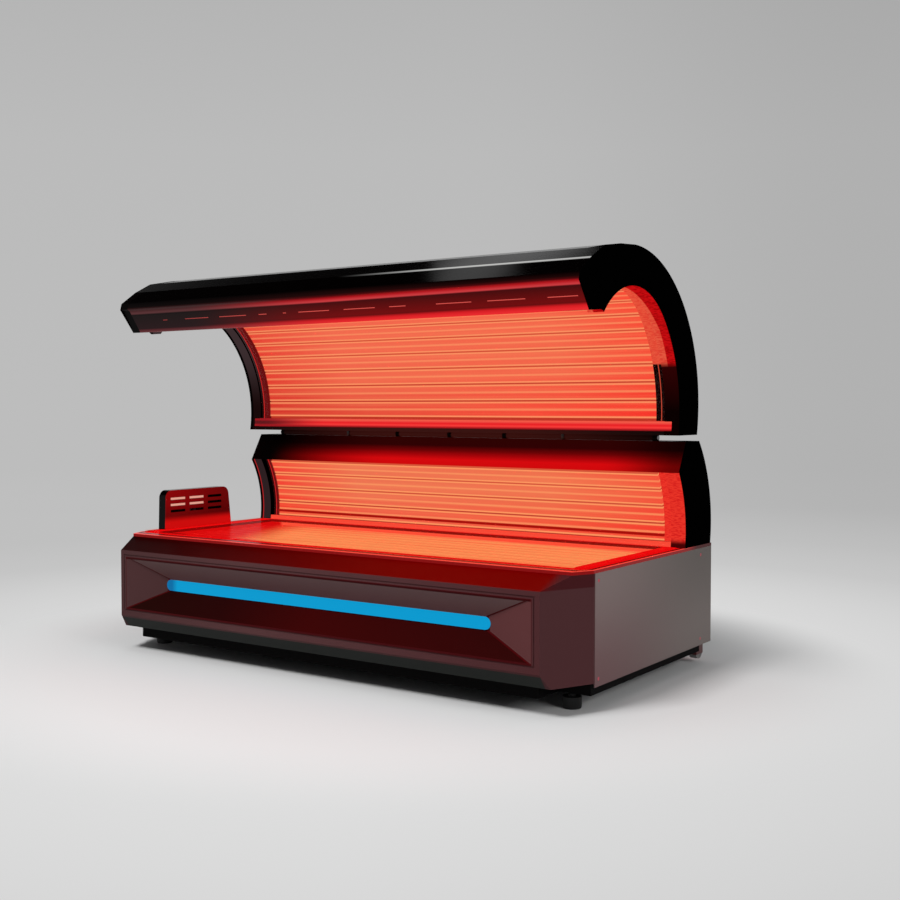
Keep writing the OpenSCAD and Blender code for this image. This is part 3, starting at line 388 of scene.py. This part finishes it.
def lamp(name, phase, shade, hot, dark=(208, 84, 58), streaks=0.18, spill=None):
    """Lit bars: phase counts the bars, with its whole numbers in the gaps between them.

    Each bar is brightest, hot, along its middle and just inside its edges. spill tints the whole row.
    """
    t = Finish(name)
    off = t.math("ABSOLUTE", t.math("SUBTRACT", t.math("FRACT", phase(t)), 0.5))
    body = shade(t)
    streak = t.noise(9, 2, (0.1, 9, 9))
    body = t.blend(t.spread(streak, 0.4, 0.7, 0.0, streaks), body, hot)
    middle = t.times(t.spread(off, 0.09, 0.03, smooth=True), 0.6)
    rim = t.times(t.spread(off, 0.33, 0.39, smooth=True), 0.85)
    lit = t.blend(rim, t.blend(middle, body, hot), hot)
    lit = t.blend(t.above(off, 0.4525, 0.0125), lit, dark)
    left_end = t.times(t.above(t.half(), 0.99425, 0.00125), t.math("LESS_THAN", t.axis("X"), 0.0))
    lit = t.blend(left_end, lit, (112, 22, 22))
    if spill:
        lit = spill(t, lit)
    t.set(Base_Color=(60, 6, 4), Roughness=0.5, Emission_Color=lit, Emission_Strength=1.0)
    t.set(Specular_IOR_Level=0.05)
    return t


def count(t, value, start, pitch):
    return t.math("DIVIDE", t.math("SUBTRACT", value, start), pitch)


def canopy_phase(t):
    """Bars of the rear arc, and past 45 degrees those of the top arc."""
    top_start = 45.0
    over = turn(t, TOP_C)
    top_part = t.math("GREATER_THAN", over, top_start)
    rear_bars = count(t, turn(t, REAR_C), -2.2, 7.8667)
    top_bars = count(t, over, top_start, 12.143)
    rear_part = t.math("SUBTRACT", 1.0, top_part)
    return t.math("ADD", t.times(rear_bars, rear_part), t.times(top_bars, top_part))


def back_phase(t):
    return count(t, turn(t, BACK_C), -5.282, 8.673)


def deck_phase(t):
    return count(t, t.axis("Y"), -0.3877, 0.07193)


def canopy_shade(t):
    run = t.spread(t.axis("X"), -LAMP_END, LAMP_END)
    high = t.ramp(run, (0.0, 226, 66, 52), (0.25, 238, 108, 82), (0.8, 240, 108, 80), (1.0, 244, 78, 58))
    low = t.ramp(run, (0.0, 208, 50, 42), (0.3, 226, 84, 64), (0.7, 242, 78, 60), (1.0, 244, 54, 44))
    return t.blend(t.spread(t.axis("Z"), 0.95, 1.2, smooth=True), low, high)


def back_shade(t):
    run = t.spread(t.axis("X"), -LAMP_END, LAMP_END)
    low = t.ramp(run, (0.0, 240, 62, 46), (0.3, 236, 100, 76), (0.8, 240, 84, 60), (1.0, 242, 60, 48))
    high = t.ramp(run, (0.0, 240, 64, 52), (0.25, 234, 122, 88), (0.75, 236, 120, 84), (1.0, 240, 80, 60))
    return t.blend(t.spread(t.axis("Z"), 0.52, 0.66, smooth=True), low, high)


# Deck lamps, redder at the rear; their tone also holds a painted reflection of the back's lamps
def deck_shade(t):
    return t.blend(t.spread(t.axis("Y"), 0.36, 0.10, smooth=True), (244, 80, 56), (238, 124, 74))


def foot_line(t, lit):
    """Painted shade: a dark line where the back's lamps meet the deck."""
    return t.blend(t.between(t.axis("Z"), 0.5165, 0.5275, 0.0015), lit, (160, 12, 8))


def red_corner(t, lit):
    """Plain red at the deck's foot end, past a slanting line."""
    across = t.math("ADD", t.axis("X"), t.math("MULTIPLY", t.axis("Y"), 0.4))
    return t.blend(t.spread(across, -0.60, -0.86, smooth=True), lit, (214, 12, 14))


give(lamp("canopy_lamps", canopy_phase, canopy_shade, (248, 158, 108)), "canopy_light_bars")
give(lamp("back_lamps", back_phase, back_shade, (250, 166, 108), spill=foot_line), "back_light_bars")
deck_lamps = lamp(
    "deck_lamps", deck_phase, deck_shade, (246, 168, 102), dark=(232, 96, 58), streaks=0.6, spill=red_corner,
)
give(deck_lamps, "deck_light_bars")

slots = solid("fascia_glow", (90, 10, 10), rough=0.5)
slots_tone = slots.blend(slots.spread(slots.axis("X"), -0.8, -0.2), (150, 60, 58), (222, 84, 76))
slots.set(Emission_Color=slots_tone, Emission_Strength=0.95)
give(slots, "fascia_light")

# Clear sheets: they bend light only a little, so that the bars behind them stay in their places
for name, bend in (("canopy_sheet", 1.01), ("back_sheet", 1.01), ("deck_sheet", 1.004)):
    clear = solid(name + "_clear", (255, 240, 236), rough=0.03, vary=0.01, dust=0.01, scale=4)
    clear.set(Transmission_Weight=1.0, IOR=bend)
    give(clear, name)

# Plates and holders behind and beside the lamps, painted with the lamps' light
give(glow("lit_reflector", (80, 10, 8), (190, 58, 40), 0.9), "canopy_reflector")


def left_edge(t):
    """Painted lamp light on the lamp holder at the left: dark red, then a bright line, then brown."""
    x = t.axis("X")
    tone = t.blend(t.between(x, -1.0270, -1.0225), (106, 14, 17), (214, 42, 42))
    return t.blend(t.below(x, -1.0280, 0.0005), tone, painted_shade_brown(t))


# Back reflector in painted lamp light, brighter along its right end, with the holder's tones at the left
plate = glow("back_reflector", (60, 8, 6), (190, 58, 40), 0.9)
x = plate.axis("X")
right_edge = lamp_lit_scratched(plate, (246, 60, 46), (226, 38, 34))
tone = plate.blend(plate.above(x, 1.0005, 0.0005), (190, 58, 40), right_edge)
plate.set(Emission_Color=plate.blend(plate.below(x, -1.0005, 0.0005), tone, left_edge(plate)))
give(plate, "back_reflector")

tray = glow("lit_tray", (90, 4, 6), (212, 14, 14), 1.0)
behind = tray.times(tray.above(tray.axis("Y"), 0.25, 0.05), tray.above(tray.axis("X"), -0.97, 0.01))
tray.set(Emission_Color=tray.blend(behind, (206, 12, 13), (247, 82, 58)))
give(tray, "deck_tray")

# Lamp holders in painted lamp light, with bright lines and patches at the right end
holder = glow("holder_lamp_lit", (20, 3, 3), (170, 24, 22), 0.9)
x, z = holder.axis("X"), holder.axis("Z")
right_low = holder.blend(holder.between(x, 1.020, 1.0235), (7, 1, 1), (206, 78, 56))
right_high = lamp_lit_scratched(holder, (240, 94, 68), (232, 72, 54))
right = holder.blend(holder.above(z, 1.1775, 0.0025), right_low, right_high)
holder.set(Emission_Color=holder.blend(holder.above(x, 0.0, 0.1), left_edge(holder), right))
give(holder, "canopy_holders")

# Canopy rail in painted lamp light: bands along its height with painted highlights, dimmer at the left
rail = glow("rail_lamp_lit", (80, 3, 6), (214, 12, 20), 0.9)
x, z = rail.axis("X"), rail.axis("Z")
bands = rail.ramp(
    rail.spread(z, 0.925, 0.9635),
    (0.0, 104, 12, 14), (0.11, 160, 18, 24), (0.24, 232, 46, 48), (0.35, 254, 62, 58), (0.46, 240, 40, 40),
    (0.58, 236, 28, 36), (0.74, 242, 74, 64), (0.9, 246, 98, 74), (1.0, 206, 30, 34),
)
far_end = rail.blend(rail.between(z, 0.936, 0.952, 0.003), (150, 16, 26), (80, 14, 20))
rail.set(Emission_Color=rail.blend(rail.spread(x, -0.60, -1.02, smooth=True), bands, far_end))
give(rail, "canopy_rail")
give(glow("rail_lit", (60, 4, 4), (250, 78, 58), 0.95), "back_rail")


def fascia_finish():
    """Fascia: a red face with a bright lower edge and a bright ledge on top, and a black slope above."""
    t = solid("fascia_red", (1, 0.4, 0.4), rough=0.3, vary=0.05, scale=6)
    x, y, z = t.axis("X"), t.axis("Y"), t.axis("Z")
    foot, ledge = 1.333, 1.433
    # The red face, its bright lower edge and the ledge are painted lamp light, dimmer at the left
    dull = t.ramp(
        t.spread(z, foot, ledge),
        (0.0, 100, 52, 54), (0.09, 80, 34, 38), (0.14, 38, 22, 24), (0.66, 28, 20, 20),
        (0.7, 16, 12, 12), (0.76, 90, 50, 52), (0.88, 60, 28, 29), (1.0, 10, 5, 5),
    )
    height = t.math("SUBTRACT", z, t.spread(x, 0.0, 1.0, 0.0, 0.005))
    lively = t.ramp(
        t.spread(height, foot, ledge),
        (0.0, 232, 40, 44), (0.1, 212, 26, 32), (0.19, 100, 8, 9), (0.25, 110, 8, 10), (0.55, 86, 7, 8),
        (0.715, 66, 6, 8), (0.76, 206, 60, 64), (0.85, 176, 18, 28), (0.92, 72, 8, 11), (1.0, 30, 7, 7),
    )
    tone = t.blend(t.spread(x, -0.75, 0.1, smooth=True), dull, lively)
    tone = t.blend(t.spread(z, ledge, 1.456, smooth=True), tone, (0, 0, 0))
    # A painted highlight along the crease in the black slope, fading out to the left
    crease_highlight = t.spread(x, 0.02, 0.55, 0.0, 0.9, smooth=True)
    crease = t.times(t.between(z, 1.5015, 1.5085, 0.001), crease_highlight)
    tone = t.blend(crease, tone, (186, 186, 184))
    tone = t.blend(t.below(x, -1.0550, 0.0005), tone, (3, 2, 2))
    # Painted shade on the underside next to the right cap
    under = t.times(t.above(y, -0.43325, 0.00075), t.above(x, 0.98, 0.01), t.below(z, 1.355, 0.005))
    tone = t.blend(under, tone, (10, 1, 1))
    t.set(Emission_Color=tone, Emission_Strength=1.0, Specular_IOR_Level=0.03)
    t.set(Roughness=t.spread(z, 1.425, 1.435, 0.3, 0.12))
    return t


give(fascia_finish(), "canopy_fascia")

# Brow: the lamps' light reaches its lower part, and fades towards both ends
brow = solid("brow_red", (6, 0, 0), rough=0.3, vary=0.02)
x, z = brow.axis("X"), brow.axis("Z")
from_left = brow.spread(x, -1.0, -0.25, smooth=True)
from_right = brow.spread(x, 1.096, 0.75, 0.2, 1.0, smooth=True)
fall = brow.ramp(
    brow.spread(z, 0.885, 0.768),
    (0.0, 44, 4, 3), (0.30, 46, 2, 3), (0.48, 104, 2, 5),
    (0.64, 164, 3, 9), (0.80, 213, 8, 13), (1.0, 206, 7, 11),
)
brow.set(Emission_Color=fall, Emission_Strength=brow.times(from_left, from_right), Specular_IOR_Level=0.04)
give(brow, "back_brow")

# Metal, plastic and rubber
dark_coat = solid("black_powder", (12, 11, 11), rough=0.6)
dark_coat.set(Specular_IOR_Level=0.02)
give(dark_coat, "base_frame", "floor_pan", "strip_channel", "hinge_blocks", "spring_brackets")
give(dark_coat, "back_ribs", "back_beam", "canopy_ribs", "canopy_beam")
give(dark_coat, "spring_cylinder_left", "spring_cylinder_right")
# Black parts with painted red lamp light, stronger towards the middle
lamp_lit_black = solid("black_lamp_lit", (12, 8, 8), rough=0.6)
reach_in = lamp_lit_black.spread(lamp_lit_black.half(), 1.15, 0.3, smooth=True)
lamp_lit_black.set(Specular_IOR_Level=0.05, Emission_Color=(52, 15, 12), Emission_Strength=reach_in)
give(lamp_lit_black, "hinge_cover", "canopy_sill")
for name, colour, rough, metal, pieces in (
    ("steel", (150, 150, 152), 0.25, 1.0, ("hinge_shaft", "spring_rod_left", "spring_rod_right")),
    ("driver_grey", (165, 166, 168), 0.4, 0.8, ("power_drivers",)),
    ("arm_grey", (34, 30, 30), 0.5, 0.0, ("hinge_arms",)),
    ("box_white", (215, 214, 208), 0.5, 0.0, ("control_box",)),
    ("screw_red", (168, 40, 62), 0.4, 0.0, ("end_panel_screws",)),
    ("rear_black", (26, 25, 25), 0.5, 0.0, ("rear_panel",)),
    ("foot_rubber", (8, 8, 8), 0.7, 0.0, ("levelling_feet",)),
    ("bracket_red", (70, 20, 20), 0.4, 0.0, ("roller_bracket_left", "roller_bracket_right")),
    ("roller_grey", (110, 108, 106), 0.5, 0.0, ("roller_wheel_left", "roller_wheel_right")),
):
    give(solid(name, colour, rough=rough, metal=metal), *pieces)
plastic = solid("black_plastic", (16, 16, 16), rough=0.5)
give(plastic, "fan_housing_left", "fan_housing_right", "mains_inlet")
give(plastic, "fan_rotor_left", "fan_rotor_right", "pod_rotor")

# Air pod: its face in painted lamp light, brightest at its foot, and the lit bars behind some of the slots
pod = solid("pod_lamp_lit", (20, 1, 2), rough=0.3, vary=0.02)
side = pod.spread(pod.axis("Y"), -0.33, 0.1, smooth=True)
low = pod.spread(pod.axis("Z"), 0.52, 0.63, smooth=True)
pod_low = pod.blend(side, (104, 4, 6), (80, 2, 4))
pod_tone = pod.blend(low, pod_low, pod.blend(side, (136, 4, 8), (100, 4, 6)))
pod_tone = pod.blend(pod.spread(pod.axis("Z"), 0.540, 0.505, smooth=True), pod_tone, (206, 12, 12))
pod.set(Emission_Color=pod_tone, Emission_Strength=0.95, Specular_IOR_Level=0.05)
give(pod, "pod_grille")


def block(name, boxes, t):
    """One piece made of plain blocks, each given by two opposite corners."""
    verts, faces = [], []
    sides = ((0, 1, 3, 2), (4, 6, 7, 5), (0, 4, 5, 1), (2, 3, 7, 6), (0, 2, 6, 4), (1, 5, 7, 3))
    for a, b in boxes:
        n = len(verts)
        verts += [(p[0], q[1], r[2]) for p in (a, b) for q in (a, b) for r in (a, b)]
        faces += [[n + k for k in f] for f in sides]
    data = bpy.data.meshes.new(name)
    data.from_pydata(verts, [], faces)
    data.materials.append(t.material)
    thing = bpy.data.objects.new(name, data)
    bpy.context.collection.objects.link(thing)
    return thing


SLOTS_Y = (-0.228, -0.117)
SLOTS_Z = (0.5846, 0.6116)
SLOT_HALF_L = 0.046
SLOT_HALF_H = 0.0045
BAR_BACK_X = -1.066
BAR_FRONT_X = -1.061
lit_bars = [
    (
        (BAR_BACK_X, y - SLOT_HALF_L, z - SLOT_HALF_H),
        (BAR_FRONT_X, y + SLOT_HALF_L, z + SLOT_HALF_H),
    )
    for y in SLOTS_Y
    for z in SLOTS_Z
]
pod_lamp = block("pod_lamp", lit_bars, glow("pod_glow", (60, 30, 26), (240, 172, 152), 0.85))
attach(pod_lamp, "base")

# Studio: the tone of the far floor and of the sky falls off to one side of a level line, which starts
# at FALL_FROM. FALL_AHEAD is its direction and FALL_SIDE the direction square to it.
FLOOR_R = 400.0
FALL_FROM = (2.9627, -3.9370)
FALL_AHEAD = (-0.5678, 0.8232)
FALL_SIDE = (0.8232, 0.5678)


def along(t, x, y, way):
    return t.math("ADD", t.times(x, way[0]), t.times(y, way[1]))


def side_fall(t, side):
    """Strength of the backdrop: side is the sine of the angle from the line."""
    return t.spread(side, 0.0, 0.34, 1.0, 0.87, smooth=True)


def floor_finish():
    """Grey floor that keeps the object's shadow, and further out has the sky's own tone."""
    t = Finish("studio_floor")
    t.set(Base_Color=(202, 202, 202), Roughness=0.7, Specular_IOR_Level=0.2)
    x, y = t.axis("X"), t.axis("Y")
    away = t.hypot(x, y)
    dx = t.math("SUBTRACT", x, FALL_FROM[0])
    dy = t.math("SUBTRACT", y, FALL_FROM[1])
    over = along(t, dx, dy, FALL_SIDE)
    ahead = along(t, dx, dy, FALL_AHEAD)
    side = t.math("DIVIDE", over, t.math("MAXIMUM", t.hypot(over, ahead), 0.5))
    distant = t.spread(away, 3.0, 9.0, smooth=True)
    near = t.math("SUBTRACT", 1.0, distant)
    left_fall = t.spread(x, -1.2, -2.0, 1.0, 0.93, smooth=True)
    near_fall = t.times(t.spread(side, -0.1, 0.34, 1.0, 0.95), left_fall)
    strength = t.math("ADD", t.times(near_fall, near), t.times(side_fall(t, side), distant))
    greys = (
        (0.087, 223), (0.12, 221), (0.144, 218), (0.162, 215),
        (0.219, 203), (0.312, 196), (0.5, 191), (1.0, 189),
    )
    far_tone = t.ramp(t.spread(away, 0.0, 16.0), *[(at, v, v, v) for at, v in greys])
    plain = t.put("Emission")
    t.wire(far_tone, plain.inputs["Color"])
    t.wire(strength, plain.inputs["Strength"])
    fade = t.put("MixShader")
    t.wire(t.spread(away, 1.28, 2.0, smooth=True), fade.inputs[0])
    t.wire(t.shader.outputs[0], fade.inputs[1])
    t.wire(plain.outputs[0], fade.inputs[2])
    out = next(n for n in t.tree.nodes if n.type == "OUTPUT_MATERIAL")
    t.wire(fade.outputs[0], out.inputs["Surface"])
    return t


bpy.ops.mesh.primitive_circle_add(vertices=96, radius=FLOOR_R, fill_type="NGON", location=(0, 0, 0))
floor = bpy.context.object
floor.name = "studio_floor"
floor.data.materials.append(floor_finish().material)

# World: a plain level of light, and a sky that is pale low down and dark overhead where it is seen
world = bpy.data.worlds.new("studio")
bpy.context.scene.world = world
world.use_nodes = True
w = Nodes(world.node_tree)
light = w.tree.nodes["Background"]
light.inputs["Color"].default_value = (0.82, 0.83, 0.85, 1)
light.inputs["Strength"].default_value = 0.25
seen = w.put("Background")
path = w.put("LightPath")
ray = w.put("SeparateXYZ")
w.wire(w.put("TexCoord").outputs["Generated"], ray.inputs[0])
sky = w.ramp(
    w.spread(ray.outputs["Z"], 0.0, 0.68),
    (0.0, 189, 189, 189), (0.3, 187, 187, 187), (0.5, 179, 179, 179),
    (0.6, 150, 150, 150), (0.75, 30, 30, 31), (1.0, 8, 8, 9),
)
w.wire(sky, seen.inputs["Color"])
w.wire(side_fall(w, along(w, ray.outputs["X"], ray.outputs["Y"], FALL_SIDE)), seen.inputs["Strength"])
shown = w.math("MAXIMUM", path.outputs["Is Camera Ray"], path.outputs["Is Glossy Ray"])
shown = w.math("MAXIMUM", shown, path.outputs["Is Transmission Ray"])
mix = w.put("MixShader")
w.wire(shown, mix.inputs[0])
w.wire(light.outputs[0], mix.inputs[1])
w.wire(seen.outputs[0], mix.inputs[2])
w.wire(mix.outputs[0], w.tree.nodes["World Output"].inputs["Surface"])


def softbox(name, at, aim, size, power, shine=False):
    """Area lamp; shine lets glossy faces mirror it."""
    data = bpy.data.lights.new(name, "AREA")
    data.shape = "RECTANGLE"
    data.size, data.size_y = size
    data.energy = power
    thing = bpy.data.objects.new(name, data)
    bpy.context.collection.objects.link(thing)
    thing.location = at
    thing.rotation_euler = (Vector(at) - Vector(aim)).to_track_quat("Z", "Y").to_euler()
    thing.visible_glossy = shine
    thing.visible_camera = False


softbox("key", (-0.5, -4.1, 5.6), (0, 0, 0.3), (2.2, 1.3), 400)
softbox("overhead", (0, -0.3, 5.0), (0, -0.3, 0), (5.0, 4.0), 60)
softbox("right_fill", (5.5, -1.2, 2.4), (0.6, 0, 0.4), (2.6, 1.8), 130)
# These two only draw the highlight along the canopy's top
softbox("edge_light", (-1.95, 2.75, 4.75), (0.7, -0.4, 1.5), (1.2, 0.45), 2.5, shine=True)
softbox("spot_light", (-1.53, 1.08, 4.46), (0.66, -0.46, 1.48), (0.5, 0.35), 1.0, shine=True)

camera_data = bpy.data.cameras.new("camera")
camera_data.sensor_width = 36
camera_data.lens = 48.32
camera = bpy.data.objects.new("camera", camera_data)
bpy.context.collection.objects.link(camera)
camera.location = (2.9627, -3.9370, 1.0175)
camera.rotation_euler = (math.pi / 2 - 0.03582, 0, 0.60378)
bpy.context.scene.camera = camera
bpy.context.scene.view_settings.view_transform = "Standard"
